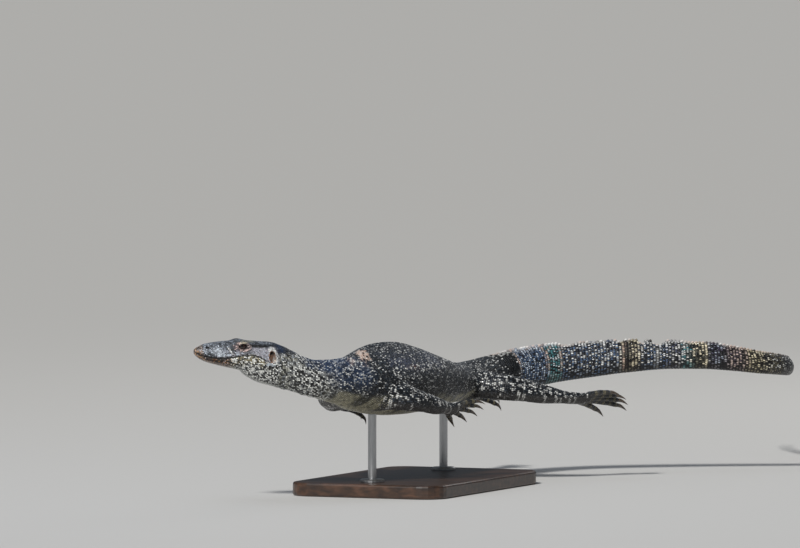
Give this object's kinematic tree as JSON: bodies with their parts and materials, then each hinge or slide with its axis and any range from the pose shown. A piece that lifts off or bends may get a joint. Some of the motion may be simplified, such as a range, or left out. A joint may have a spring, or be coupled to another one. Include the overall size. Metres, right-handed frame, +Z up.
{
  "type": "water monitor lizard model",
  "caption": "Life-size still model of a water monitor lizard swimming with its head raised, on a plain wooden base with short steel rods.",
  "frame": {"origin": "middle of the stand's underside", "axes": "+Z up; +Y away from a viewer who sees the animal's left side, the way its tail runs; +X to that viewer's right, with the snout towards -X"},
  "size_m": [0.7967, 1.0684, 0.2136],
  "materials": {
    "skin": "damp, finely scaled hide, dark slate",
    "skin_pale": "damp, finely scaled hide, pale throat",
    "eye": "wet gloss",
    "stand_wood": "dark satin varnish",
    "stand_steel": "brushed"
  },
  "bodies": {
    "root": {"head": "skin", "lower_jaw": "skin_pale", "eye_left": "eye", "eye_right": "eye", "neck": "skin", "chest": "skin", "belly": "skin", "pelvis": "skin", "tail_base": "skin", "tail_front": "skin", "tail_middle": "skin", "tail_rear": "skin", "tail_tip": "skin", "upper_arm_left": "skin", "upper_arm_right": "skin", "forearm_left": "skin", "forearm_right": "skin", "hand_left": "skin", "hand_right": "skin", "thigh_left": "skin", "thigh_right": "skin", "shank_left": "skin", "shank_right": "skin", "foot_left": "skin", "foot_right": "skin", "stand_base": "stand_wood", "stand_rod_front": "stand_steel", "stand_rod_rear": "stand_steel"}
  },
  "joints": []
}
